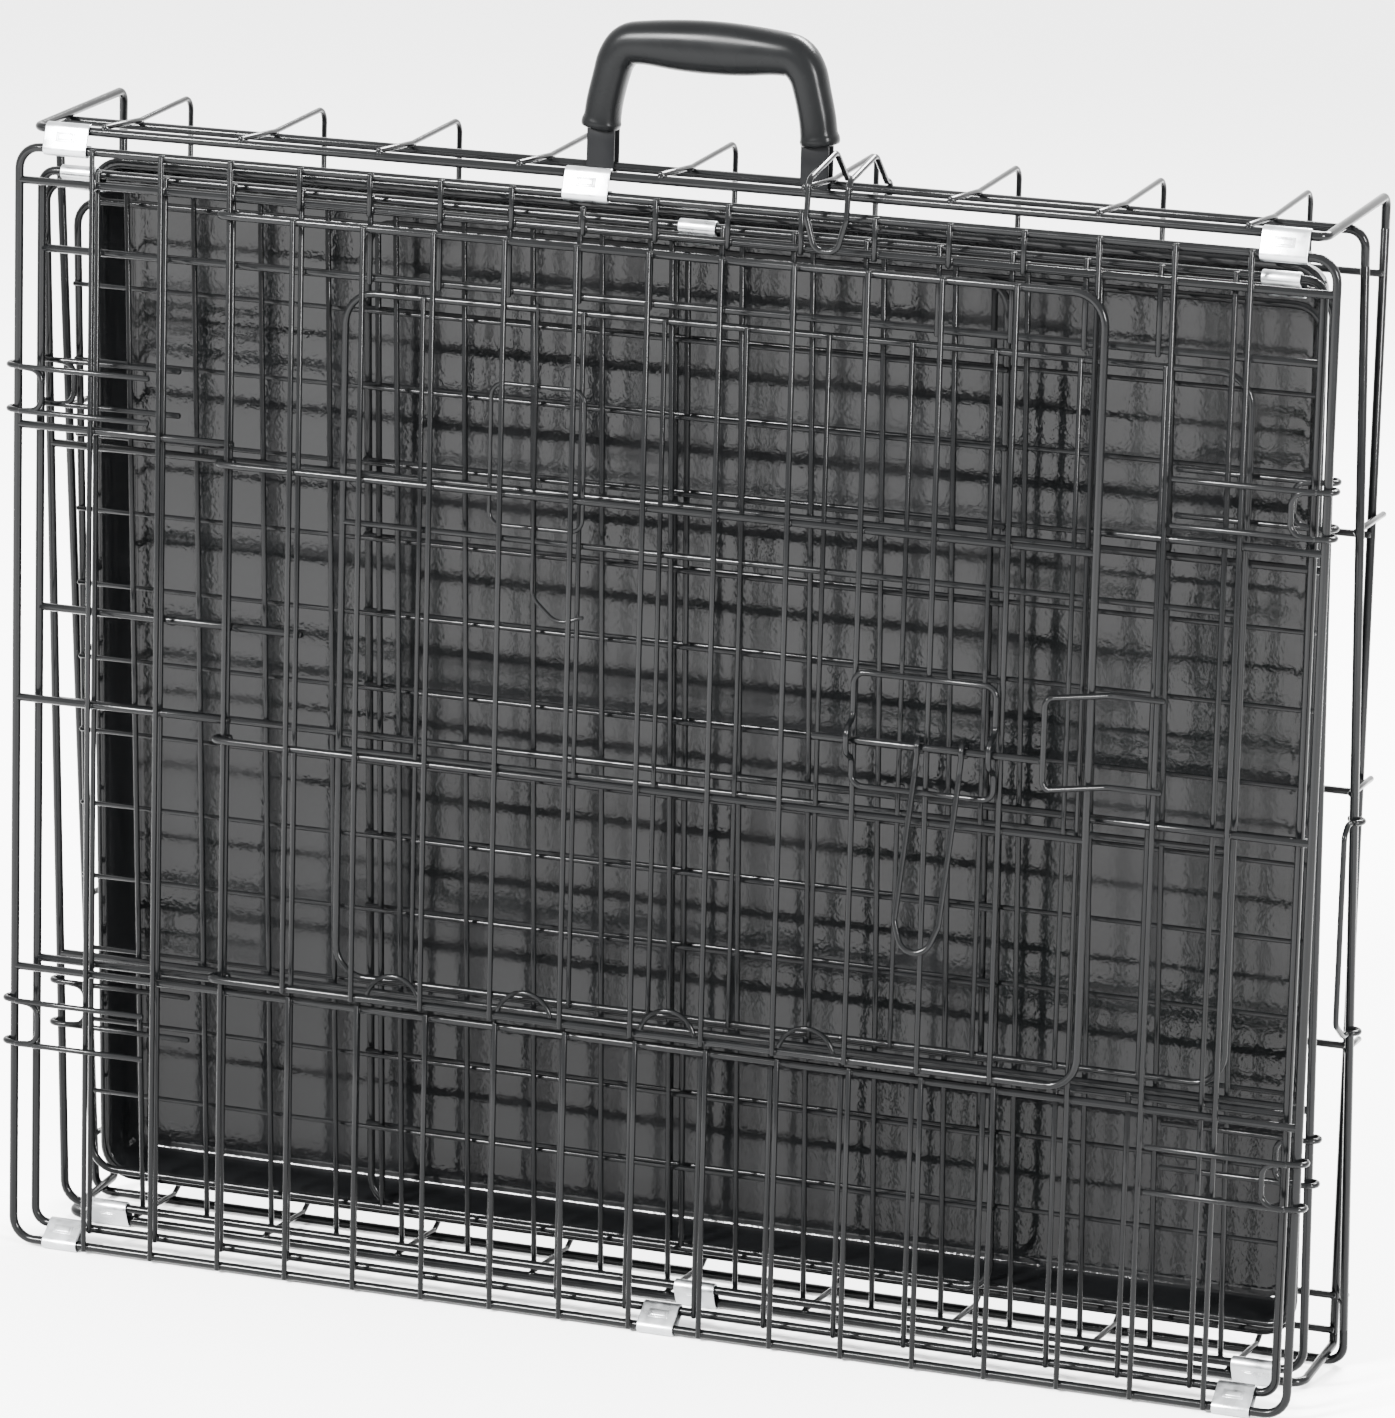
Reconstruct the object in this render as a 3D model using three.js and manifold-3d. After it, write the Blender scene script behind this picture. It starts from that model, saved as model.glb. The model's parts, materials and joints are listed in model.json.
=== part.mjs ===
// Folding wire dog crate, folded flat and standing on one long edge.
// Millimetres. X runs along the crate, -Y is the face looked at, +Z is up.
import * as THREE from 'three';
import { mergeVertices } from 'three/addons/utils/BufferGeometryUtils.js';
import Module from 'manifold-3d';

// ---- driving dimensions -------------------------------------------------
const BASE_Z = 0.65;              // lifts the lowest clip onto the ground
const FRAME_R = 2.0;              // thick frame wire
const RAIL_R = 1.8;               // long rails and door frames
const MESH_R = 1.25;              // thin upright wire
const THIN_R = 1.1;               // end panel wire
const PITCH = 33.3;               // spacing of the upright wires
const WIRE_END = 1.5;             // thin wires run this far past the rod they end on

const FRONT = { half: 303, bottom: 2.5, top: 506, y: 0, corner: 10 };
const TOP = { half: 295.5, bottom: 9, top: 495, y: 7.5, corner: 7 };
const REAR = { half: 297.5, bottom: 9, top: 489, yBottom: 43, yTop: 15.5, corner: 10 };
const FLOOR = { half: 296.5, y: 94, top: 519, bottom: 8, pitch: 65.75, count: 9 };
const LIP = { frontY: 3, frontZ: 514.5, lowY: 46, lowZ: 2.5 };
const RING = { half: 303, topY: 40, topZ: 512.6, lowY: 88, lowZ: 1.4, corner: 12 };
const PAN = { half: 288, bottom: 17, top: 498, depth: 26, wall: 2.2, yBottom: 61, yTop: 39 };
const END = { reach: 440, bottom: 24, top: 480, pitch: 34.5, rows: 12, columns: 2 };
const END_LEFT = { yBottom: 51.5, yTop: 28 };
const END_RIGHT = { yBottom: 57.5, yTop: 34.5 };

const DOOR = { left: -199.8, right: 205, bottom: 138, top: 484, y: -7, corner: 14 };
const SILL_Z = 131;
const HEADER_Z = 491;
const STUB_RAILS = [256, 381];
const TOP_DOOR = { left: -150, right: 265, bottom: 142, top: 452, y: 12, corner: 14 };
const BOLT = { z: 283, y: -16.2, left: 83, right: 186.8, r: 1.6 };
const CLIP_WALL = 0.8;
const CLIP_GAP = 0.35;
const HANDLE_X = 8;
const TOP_BOLT_X = -56;
const HINGE_LOOPS = [-119, -56, 12, 77];

const STEEL = { name: 'black_coated_steel', color: 0x2a2c2e, roughness: 0.34, metalness: 0.25 };
const ZINC = { name: 'zinc_plated_steel', color: 0xc9cbcc, roughness: 0.32, metalness: 0.9 };
const PAN_PLASTIC = { name: 'pan_abs', color: 0x17191a, roughness: 0.22, metalness: 0.0 };
const GRIP_PLASTIC = { name: 'handle_plastic', color: 0x1d1e20, roughness: 0.38, metalness: 0.0 };

// ---- solid helpers --------------------------------------------------------
const wasm = await Module();
wasm.setup();

const v3 = (x, y, z) => new THREE.Vector3(x, y, z);

function toSolid(geometry) {
  const bare = geometry.index ? geometry.toNonIndexed() : geometry.clone();
  bare.deleteAttribute('normal');
  bare.deleteAttribute('uv');
  const merged = mergeVertices(bare, 1e-5);
  return new wasm.Manifold(new wasm.Mesh({
    numProp: 3,
    vertProperties: new Float32Array(merged.attributes.position.array),
    triVerts: new Uint32Array(merged.index.array),
  }));
}

function fromSolid(solid) {
  const mesh = solid.simplify(2e-3).getMesh();
  const geometry = new THREE.BufferGeometry();
  const positions = new THREE.BufferAttribute(new Float32Array(mesh.vertProperties), 3);
  geometry.setAttribute('position', positions);
  geometry.setIndex(new THREE.BufferAttribute(new Uint32Array(mesh.triVerts), 1));
  geometry.computeVertexNormals();
  return geometry;
}

function weld(geometries) {
  let solid = toSolid(geometries[0]);
  for (const geometry of geometries.slice(1)) {
    solid = solid.add(toSolid(geometry));
  }
  return fromSolid(solid);
}

// Sweeps a round section through a list of points, one ring per point.
class WirePath extends THREE.Curve {
  constructor(points) {
    super();
    this.points = points;
  }

  getPointAt(u, target = new THREE.Vector3()) {
    const index = Math.round(u * (this.points.length - 1));
    return target.copy(this.points[index]);
  }

  getTangentAt(u, target = new THREE.Vector3()) {
    const last = this.points.length - 1;
    const index = Math.round(u * last);
    const before = this.points[Math.max(index - 1, 0)];
    const after = this.points[Math.min(index + 1, last)];
    return target.copy(after).sub(before).normalize();
  }
}

// Replaces every inner corner by a short arc.
function roundCorners(points, radius, steps) {
  const path = [points[0]];
  for (let i = 1; i < points.length - 1; i += 1) {
    const toBefore = points[i - 1].clone().sub(points[i]);
    const toAfter = points[i + 1].clone().sub(points[i]);
    const angle = toBefore.angleTo(toAfter);
    const reach = Math.min(radius / Math.tan(angle / 2), toBefore.length() * 0.49,
      toAfter.length() * 0.49);
    const start = points[i].clone().addScaledVector(toBefore.normalize(), reach);
    const end = points[i].clone().addScaledVector(toAfter.normalize(), reach);
    const bow = new THREE.QuadraticBezierCurve3(start, points[i], end);
    path.push(...bow.getPoints(steps));
  }
  path.push(points[points.length - 1]);
  return path;
}

// The section keeps one edge of its outline facing front and back.
function roundSection(radius, sides) {
  const shape = new THREE.Shape();
  const turn = sides % 4 === 0 ? 0 : 0.5;
  for (let i = 0; i < sides; i += 1) {
    const angle = ((i + turn) / sides) * Math.PI * 2;
    const x = radius * Math.cos(angle);
    const y = radius * Math.sin(angle);
    if (i === 0) shape.moveTo(x, y);
    else shape.lineTo(x, y);
  }
  return shape;
}

function bentWire(points, radius, bend = 6, steps = 3, sides = 6) {
  const path = new WirePath(roundCorners(points, bend, steps));
  return new THREE.ExtrudeGeometry(roundSection(radius, sides), {
    steps: path.points.length - 1,
    extrudePath: path,
  });
}

// A wire that runs straight from point to point.
function wireThrough(points, radius, sides = 6) {
  return new THREE.ExtrudeGeometry(roundSection(radius, sides), {
    steps: points.length - 1,
    extrudePath: new WirePath(points),
  });
}

function rod(from, to, radius, sides = 6, turn = 0) {
  const length = from.distanceTo(to);
  const geometry = new THREE.CylinderGeometry(radius, radius, length, sides, 1, false, turn);
  const aim = to.clone().sub(from).normalize();
  geometry.applyQuaternion(new THREE.Quaternion().setFromUnitVectors(v3(0, 1, 0), aim));
  const middle = from.clone().add(to).multiplyScalar(0.5);
  geometry.translate(middle.x, middle.y, middle.z);
  return geometry;
}

const railX = (x0, x1, y, z, radius = RAIL_R) => (
  rod(v3(x0, y, z), v3(x1, y, z), radius, 6, Math.PI / 6)
);
const upright = (x, y, z0, z1, radius = MESH_R) => rod(v3(x, y, z0), v3(x, y, z1), radius);

// A rounded rectangle of wire in the XZ plane, made of two overlapping halves.
function wireFrame(x0, x1, z0, z1, y, radius, corner, sides = 8) {
  const middle = (x0 + x1) / 2;
  const left = bentWire([
    v3(middle + 1, y, z1), v3(x0, y, z1), v3(x0, y, z0), v3(middle + 1, y, z0),
  ], radius, corner, 3, sides);
  const right = bentWire([
    v3(middle - 1, y, z1), v3(x1, y, z1), v3(x1, y, z0), v3(middle - 1, y, z0),
  ], radius, corner, 3, sides);
  return [left, right];
}

// Tilts a panel built upright at y = 0 so that its bottom and top reach two depths.
function lean(geometry, yBottom, yTop, zBottom, zTop) {
  const angle = Math.atan2(yBottom - yTop, zTop - zBottom);
  geometry.translate(0, 0, -zBottom);
  geometry.rotateX(angle);
  geometry.translate(0, yBottom, zBottom);
  return geometry;
}

const depthAt = (z, low, high) => {
  const share = (z - low.z) / (high.z - low.z);
  return low.y + (high.y - low.y) * share;
};

// ---- the big panels -------------------------------------------------------
function makeFrontPanel() {
  const p = FRONT;
  const front = p.y - 2.7;
  const parts = wireFrame(-p.half, p.half, p.bottom, p.top, p.y, FRAME_R, p.corner);
  parts.push(railX(-p.half, p.half, p.y, SILL_Z));
  parts.push(railX(-p.half, p.half, p.y, HEADER_Z));
  for (const z of STUB_RAILS) {
    parts.push(railX(-p.half, DOOR.left + 1.2, p.y, z));
    parts.push(railX(-DOOR.left - 1.2, p.half, p.y, z));
  }
  for (let i = -8; i <= 8; i += 1) {
    const x = i * PITCH;
    const inDoor = Math.abs(i) < 6;
    const top = i === -1 ? p.top - 5.5 : p.top + WIRE_END;
    if (inDoor) {
      parts.push(upright(x, front, HEADER_Z - 2, top));
      parts.push(upright(x, front, p.bottom - WIRE_END, SILL_Z + 2));
    } else {
      parts.push(upright(x, front, p.bottom - WIRE_END, p.top + WIRE_END));
    }
  }
  return weld(parts);
}

function makeTopPanel() {
  const p = TOP;
  const front = p.y - 2.7;
  const d = TOP_DOOR;
  const low = d.bottom - 8;
  const high = d.top + 8;
  const left = -267 + 32.8 * 3;
  const right = -267 + 32.8 * 16;
  const parts = wireFrame(-p.half, p.half, p.bottom, p.top, p.y, FRAME_R, p.corner);
  parts.push(railX(-p.half, p.half, p.y, low));
  parts.push(railX(-p.half, p.half, p.y, high));
  parts.push(railX(-p.half, left + 1.2, p.y, 297));
  for (let i = 0; i < 17; i += 1) {
    const x = -267 + 32.8 * i;
    const inDoor = x > left + 1 && x < right - 1;
    const foot = p.bottom - WIRE_END;
    if (inDoor) {
      parts.push(upright(x, front, high - 2, p.top + WIRE_END));
      parts.push(upright(x, front, foot, low + 2));
    } else {
      parts.push(upright(x, front, foot, p.top + WIRE_END));
    }
  }
  for (const x of HINGE_LOOPS) {
    parts.push(hingeLoop(x, p.y - 2.5, low));
  }
  return weld(parts);
}

// A half round of wire that stands on the sill of the top door.
function hingeLoop(x, y, z) {
  const points = [];
  for (let i = 0; i <= 6; i += 1) {
    const angle = Math.PI * (i / 6);
    points.push(v3(x + 13 * Math.cos(angle), y, z - 0.6 + 13 * Math.sin(angle)));
  }
  return wireThrough(points, 1.1, 5);
}

function makeRearPanel() {
  const p = REAR;
  const height = Math.hypot(p.top - p.bottom, p.yBottom - p.yTop);
  const parts = wireFrame(-p.half, p.half, 0, height, 0, FRAME_R, p.corner);
  for (let i = 1; i < 4; i += 1) {
    parts.push(railX(-p.half, p.half, 0, (height * i) / 4));
  }
  for (let i = -8; i <= 8; i += 1) {
    parts.push(upright(i * 32.4, 2.7, -WIRE_END, height + WIRE_END));
  }
  const panel = weld(parts);
  panel.translate(0, 0, p.bottom);
  return lean(panel, p.yBottom, p.yTop, p.bottom, p.top);
}

function makeEndPanel(side, layer) {
  const inner = side * (END.reach - 290);
  const outer = -side * 288;
  const x0 = Math.min(inner, outer);
  const x1 = Math.max(inner, outer);
  const height = END.top - END.bottom;
  const parts = wireFrame(x0, x1, 0, height, 0, RAIL_R, 12);
  for (let i = 1; i <= END.rows; i += 1) {
    parts.push(railX(x0 - WIRE_END, x1 + WIRE_END, -2.4, i * END.pitch + 4, THIN_R));
  }
  for (let i = 1; i <= END.columns; i += 1) {
    const x = x0 + ((x1 - x0) * i) / (END.columns + 1);
    parts.push(upright(x, -0.3, 0, height, 1.4));
  }
  const panel = weld(parts);
  panel.translate(0, 0, END.bottom);
  return lean(panel, layer.yBottom, layer.yTop, END.bottom, END.top);
}

// ---- floor tray -----------------------------------------------------------
const floorWires = () => {
  const wires = [];
  for (let i = 0; i < FLOOR.count; i += 1) {
    wires.push((i - (FLOOR.count - 1) / 2) * FLOOR.pitch);
  }
  return wires;
};

function makeFloorGrid() {
  const f = FLOOR;
  const low = f.bottom + 4;
  const high = f.top - 14;
  const parts = [];
  for (const x of floorWires()) {
    parts.push(upright(x, f.y, low, high));
  }
  parts.push(upright(-f.half, f.y, low, high, FRAME_R));
  parts.push(upright(f.half, f.y, low, high, FRAME_R));
  for (let i = 0; i < 5; i += 1) {
    parts.push(railX(-f.half, f.half, f.y - 2.6, 30 + i * 114, 1.6));
  }
  parts.push(railX(-f.half, f.half, f.y, low + 2, 1.6));
  return weld(parts);
}

function makeLipTop() {
  const f = FLOOR;
  const base = f.top - 13.7;
  const parts = [];
  for (const x of floorWires()) {
    parts.push(wireThrough([
      v3(x, f.y, base), v3(x, f.y, f.top - 6), v3(x, f.y - 1.6, f.top - 1.8),
      v3(x, f.y - 6, f.top), v3(x, RING.topY, RING.topZ + 2.7),
      v3(x, LIP.frontY - 0.5, LIP.frontZ + 2.5),
    ], MESH_R));
  }
  for (const side of [-1, 1]) {
    parts.push(bentWire([
      v3(side * f.half, f.y, base), v3(side * f.half, f.y, f.top + 0.4),
      v3(side * f.half, LIP.frontY, LIP.frontZ), v3(side * 200, LIP.frontY, LIP.frontZ),
    ], FRAME_R, 8, 4, 8));
  }
  parts.push(railX(-201, 201, LIP.frontY, LIP.frontZ, FRAME_R));
  const r = RING;
  for (const side of [-1, 1]) {
    parts.push(bentWire([
      v3(side * 0.2 - side, r.topY, r.topZ), v3(side * r.half, r.topY, r.topZ),
      v3(side * r.half, r.topY + 1.6, r.topZ - 15),
    ], FRAME_R, r.corner, 4, 8));
  }
  return weld(parts);
}

function makeLipBottom() {
  const f = FLOOR;
  const r = RING;
  const parts = [];
  for (const x of floorWires()) {
    parts.push(wireThrough([
      v3(x, f.y, f.bottom + 3.6), v3(x, f.y - 1, f.bottom - 0.6), v3(x, r.lowY, r.lowZ + 2.6),
      v3(x, LIP.lowY + 0.4, LIP.lowZ + 2.5),
    ], MESH_R));
  }
  for (const side of [-1, 1]) {
    parts.push(bentWire([
      v3(side * f.half, f.y, f.bottom + 3.6), v3(side * f.half, f.y, f.bottom - 1),
      v3(side * f.half, LIP.lowY, LIP.lowZ), v3(side * 200, LIP.lowY, LIP.lowZ),
    ], FRAME_R, 6, 3, 8));
    parts.push(bentWire([
      v3(-side, r.lowY, r.lowZ), v3(side * r.half, r.lowY, r.lowZ),
      v3(side * r.half, r.lowY - 1.6, r.lowZ + 15),
    ], FRAME_R, r.corner, 4, 8));
  }
  parts.push(railX(-201, 201, LIP.lowY, LIP.lowZ, FRAME_R));
  return weld(parts);
}

function makeBrace(side) {
  const r = RING;
  const low = v3(side * r.half, r.lowY - 1.7, r.lowZ + 15.4);
  const high = v3(side * r.half, r.topY + 1.7, r.topZ - 15.4);
  const parts = [rod(low, high, FRAME_R, 8)];
  for (let i = 0; i < 4; i += 1) {
    const z = 30 + i * 117;
    const y = depthAt(z, { z: low.z, y: low.y }, { z: high.z, y: high.y });
    const x = side * (r.half - 1.6);
    parts.push(rod(v3(x, y, z), v3(x, FLOOR.y + 1, z), 1.4));
  }
  return weld(parts);
}

function makePan() {
  const p = PAN;
  const height = p.top - p.bottom;
  const box = (x, y, z) => new THREE.BoxGeometry(x, y, z);
  const outer = box(p.half * 2 - 8, p.depth, height - 8);
  outer.translate(0, p.depth / 2, height / 2);
  const inner = box(p.half * 2 - 8 - p.wall * 2, p.depth, height - 8 - p.wall * 2);
  inner.translate(0, p.depth / 2 - p.wall, height / 2);
  const rim = box(p.half * 2, p.wall, height);
  rim.translate(0, p.wall / 2, height / 2);
  const pan = fromSolid(toSolid(outer).add(toSolid(rim)).subtract(toSolid(inner)));
  pan.translate(0, 0, p.bottom);
  return lean(pan, p.yBottom, p.yTop, p.bottom, p.top);
}

// ---- doors and their latches ------------------------------------------------
function hingeCurl(x, y, z, wireR, endX, endY) {
  const reach = MESH_R + 0.7 + wireR;
  const points = [];
  for (let i = 0; i <= 4; i += 1) {
    const angle = -Math.PI / 2 - (i / 4) * Math.PI * 1.2;
    points.push(v3(x + reach * Math.cos(angle), y + reach * Math.sin(angle), z));
  }
  return [v3(endX, endY, z), v3(x + 6, endY, z), ...points];
}

function makeSideDoor() {
  const d = DOOR;
  const pinY = FRONT.y - 2.7;
  const parts = [];
  const curlTop = hingeCurl(d.left, pinY, d.top, RAIL_R, d.right, d.y);
  const curlLow = hingeCurl(d.left, pinY, d.bottom, RAIL_R, d.right, d.y);
  parts.push(bentWire([
    v3(0, d.y, d.top), v3(d.right, d.y, d.top), v3(d.right, d.y, d.bottom), v3(0, d.y, d.bottom),
  ], RAIL_R, d.corner, 4, 8));
  parts.push(wireThrough([v3(1, d.y, d.top), ...curlTop.slice(1)], RAIL_R));
  parts.push(wireThrough([v3(1, d.y, d.bottom), ...curlLow.slice(1)], RAIL_R));
  for (const z of [248, 373]) {
    const curl = hingeCurl(d.left, pinY, z, 1.6, d.right, d.y);
    parts.push(wireThrough(curl, 1.6));
  }
  for (let i = -5; i <= 5; i += 1) {
    parts.push(upright(i * PITCH, d.y - 2.6, d.bottom - WIRE_END, d.top + WIRE_END));
  }
  parts.push(...boltGuide(100, 164.5, 262, 312, BOLT.z, d.y - 5.0));
  return weld(parts);
}

// A wire loop whose two sides arch over the bolt rod.
function boltGuide(x0, x1, z0, z1, rodZ, y) {
  const arch = y - 8.2;
  const middle = (x0 + x1) / 2;
  const half = (x, from) => bentWire([
    v3(from, y, z1), v3(x, y, z1), v3(x, y, rodZ + 9), v3(x, arch, rodZ + 5),
    v3(x, arch, rodZ - 5), v3(x, y, rodZ - 9), v3(x, y, z0), v3(from, y, z0),
  ], 1.3, 3, 1);
  return [half(x0, middle + 0.6), half(x1, middle - 0.6)];
}

function makeDoorBolt() {
  const b = BOLT;
  return railX(b.left, b.right, b.y, b.z, b.r);
}

function makeDoorPaddle() {
  const b = BOLT;
  const ring = b.r + 0.7 + 1.3;
  const loop = [];
  for (let i = 0; i <= 5; i += 1) {
    const angle = Math.PI * 0.2 - (i / 5) * Math.PI * 1.45 + Math.PI;
    loop.push([ring * Math.cos(angle), ring * Math.sin(angle)]);
  }
  const x0 = 132;
  const x1 = 152;
  const foot = b.z - 86;
  const footY = b.y - 17;
  const side = (x) => loop.map(([y, z]) => v3(x, b.y + y, b.z + z)).reverse();
  return wireThrough([
    ...side(x0), v3(x0, b.y - 5.5, b.z - 12), v3(x0 - 4, footY + 3, foot + 12),
    v3(x0 - 3, footY + 1, foot + 4), v3(x0 + 2, footY, foot), v3(x1 - 10, footY, foot),
    v3(x1 - 5, footY + 1, foot + 4), v3(x1 - 4, footY + 3, foot + 12),
    v3(x1, b.y - 5.5, b.z - 12), ...side(x1).reverse(),
  ], 1.3);
}

function makeKeeper() {
  const y = FRONT.y - 2.7 - MESH_R - 0.4 - 1.3;
  const out = -22;
  const x0 = 189.5;
  const x1 = 213;
  return bentWire([
    v3(237, y, 312), v3(x1, y, 312), v3(x0 + 3, out, 312), v3(x0, out, 309),
    v3(x0, out, 275), v3(x0 + 3, out, 272), v3(x1, y, 272), v3(237, y, 272),
  ], 1.3, 4, 2);
}

function makeTopDoor() {
  const d = TOP_DOOR;
  const parts = wireFrame(d.left, d.right, d.bottom, d.top, d.y, 1.6, d.corner);
  for (const z of [246, 349]) {
    parts.push(railX(d.left, d.right, d.y, z, 1.4));
  }
  for (let i = 1; i < 11; i += 1) {
    const x = d.left + ((d.right - d.left) * i) / 11;
    parts.push(upright(x, d.y - 2.25, d.bottom - WIRE_END, d.top + WIRE_END, 1.1));
  }
  return weld(parts);
}

function makeTopDoorGuide() {
  const x = TOP_BOLT_X;
  return weld(wireFrame(x - 22, x + 22, 356, 419, 6.35, 1.05, 6, 5));
}

function makeTopDoorBolt() {
  const x = TOP_BOLT_X;
  const y = 3.95;
  return bentWire([
    v3(x, y, 456), v3(x, y, 326), v3(x + 12, y, 315), v3(x + 24, y, 319),
  ], 0.95, 8, 2);
}

// ---- catches, hooks, clips ---------------------------------------------------
function makeCornerHook(side, z, pinX, pinY, faceY, reachX) {
  const r = 1.3;
  const ring = FRAME_R + 0.8 + r;
  const tip = (level) => {
    const points = [v3(side * reachX, faceY, level)];
    points.push(v3(side * (pinX - 4), faceY, level));
    for (let i = 0; i <= 3; i += 1) {
      const angle = -Math.PI / 2 + (i / 3) * Math.PI * 0.9;
      points.push(v3(side * (pinX + ring * Math.cos(angle)), pinY + ring * Math.sin(angle), level));
    }
    return points;
  };
  const link = wireThrough([
    v3(side * (pinX - 3), faceY, z - 10.8), v3(side * (pinX - 13.5), faceY, z - 7),
    v3(side * (pinX - 13.5), faceY, z + 7), v3(side * (pinX - 3), faceY, z + 10.8),
  ], r, 5);
  return weld([
    wireThrough(tip(z - 10), r, 5),
    wireThrough(tip(z + 10), r, 5),
    link,
  ]);
}

// Sheet hook of the front panel: closed round its own top rod, open behind the lip rod.
function makeHookClip(a, b, x, width) {
  const inner = FRAME_R + CLIP_GAP;
  const outer = inner + CLIP_WALL;
  const angle = Math.atan2(b[1] - a[1], b[0] - a[0]);
  const span = Math.hypot(b[0] - a[0], b[1] - a[1]);
  const shape = new THREE.Shape();
  shape.moveTo(3, -outer);
  shape.absarc(0, 0, outer, Math.PI * 1.5, Math.PI / 2, true);
  shape.lineTo(span, outer);
  shape.absarc(span, 0, outer, Math.PI / 2, Math.PI * 0.05, true);
  shape.absarc(span, 0, inner, Math.PI * 0.05, Math.PI / 2, false);
  shape.lineTo(0, inner);
  shape.absarc(0, 0, inner, Math.PI / 2, Math.PI * 1.5, false);
  shape.lineTo(3, -inner);
  shape.closePath();
  return placeClip(shape, angle, a, x, width);
}

// Sheet strip wrapped round two rods; a and b are [y, z] rod centres.
function makeClip(a, b, x, width) {
  const inner = FRAME_R + CLIP_GAP;
  const outer = inner + CLIP_WALL;
  const angle = Math.atan2(b[1] - a[1], b[0] - a[0]);
  const span = Math.hypot(b[0] - a[0], b[1] - a[1]);
  const stadium = (radius, PathType) => {
    const path = new PathType();
    path.absarc(0, 0, radius, Math.PI / 2, Math.PI * 1.5, false);
    path.absarc(span, 0, radius, -Math.PI / 2, Math.PI / 2, false);
    path.closePath();
    return path;
  };
  const shape = stadium(outer, THREE.Shape);
  shape.holes.push(stadium(inner, THREE.Path));
  return placeClip(shape, angle, a, x, width);
}

function placeClip(shape, angle, a, x, width) {
  const geometry = new THREE.ExtrudeGeometry(shape, {
    depth: width, bevelEnabled: false, curveSegments: 4,
  });
  geometry.translate(0, 0, -width / 2);
  geometry.rotateZ(angle);
  geometry.applyMatrix4(new THREE.Matrix4().makeBasis(v3(0, 1, 0), v3(0, 0, 1), v3(1, 0, 0)));
  geometry.translate(x, a[0], a[1]);
  return fromSolid(toSolid(geometry));
}

// The moulded grip: an arch outline with thick rounded edges.
function makeHandle() {
  const side = [
    [58.9, 18.2], [57.2, 28], [54.2, 40], [50.4, 54], [46, 60.5], [39, 63.6], [28, 65.2], [14, 66.4],
  ];
  const under = [
    [42.3, 18.2], [41.2, 28], [38.4, 40], [35.6, 46.4], [28, 46], [14, 44.2],
  ];
  const mirror = (points) => points.map(([x, z]) => [-x, z]);
  const outline = [
    ...mirror(side), [0, 66.8], ...side.slice().reverse(),
    ...under, [0, 43.6], ...mirror(under).reverse(),
  ];
  const shape = new THREE.Shape(outline.map(([x, z]) => new THREE.Vector2(x, z)));
  const edge = 5;
  const grip = new THREE.ExtrudeGeometry(shape, {
    depth: 8, bevelThickness: edge, bevelSize: edge, bevelOffset: -edge, bevelSegments: 2,
  });
  grip.translate(0, 0, -4);
  grip.rotateX(Math.PI / 2);
  grip.translate(HANDLE_X, RING.topY, RING.topZ);
  return fromSolid(toSolid(grip));
}

// The steel strap that holds one foot of the handle to the ring rod.
function makeStrap(side) {
  const inner = FRAME_R + 0.4;
  const outer = inner + 1.1;
  const top = 18.15;
  const shape = new THREE.Shape();
  shape.moveTo(-outer, top);
  shape.lineTo(-outer, 0);
  shape.absarc(0, 0, outer, Math.PI, Math.PI * 2, false);
  shape.lineTo(outer, top);
  shape.closePath();
  const hole = new THREE.Path();
  hole.absarc(0, 0, inner, 0, Math.PI * 2, true);
  shape.holes.push(hole);
  const width = 13;
  const strap = new THREE.ExtrudeGeometry(shape, {
    depth: width, bevelEnabled: false, curveSegments: 5,
  });
  strap.translate(0, 0, -width / 2);
  strap.applyMatrix4(new THREE.Matrix4().makeBasis(v3(0, 1, 0), v3(0, 0, 1), v3(1, 0, 0)));
  strap.translate(HANDLE_X + side * 49.5, RING.topY, RING.topZ);
  return fromSolid(toSolid(strap));
}

function makeCarryCatch() {
  const r = 1.3;
  const ring = FRAME_R + 0.5 + r;
  const curl = (x) => {
    const points = [];
    for (let i = 0; i <= 6; i += 1) {
      const angle = -Math.PI * 0.75 + (i / 6) * Math.PI * 1.35;
      points.push(v3(x, RING.topY + ring * Math.cos(angle), RING.topZ + ring * Math.sin(angle)));
    }
    return points;
  };
  const x0 = 72;
  const x1 = 90;
  const leg = (x, inward) => [
    v3(x, 24, RING.topZ + 17), v3(x, -9.5, LIP.frontZ + 8), v3(x, -11.5, LIP.frontZ - 8),
    v3(x + inward, -11.5, LIP.frontZ - 22),
  ];
  return bentWire([
    ...curl(x0), ...leg(x0, 4), ...leg(x1, -4).reverse(), ...curl(x1).reverse(),
  ], r, 3, 1);
}

// A loop of wire that swings on the right hand brace.
function makePanLatch() {
  const r = 1.3;
  const ring = FRAME_R + 0.8 + r;
  const curl = (z) => {
    const y = depthAt(z, { z: RING.lowZ, y: RING.lowY }, { z: RING.topZ, y: RING.topY });
    const points = [];
    for (let i = 0; i <= 5; i += 1) {
      const angle = Math.PI * (0.75 - i * 0.25);
      points.push(v3(RING.half + ring * Math.cos(angle), y + ring * Math.sin(angle), z));
    }
    points.push(v3(RING.half, y - 9, z));
    return points;
  };
  const high = curl(252);
  const low = curl(156);
  const reach = high[6].y - 5;
  const x = RING.half;
  return wireThrough([
    ...high, v3(x, reach, 248), v3(x, reach, 164), v3(x, low[6].y - 3, 157), ...low.reverse(),
  ], r);
}

// ---- assembly ----------------------------------------------------------------
const root = new THREE.Group();
root.name = 'wire_dog_crate';

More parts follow.
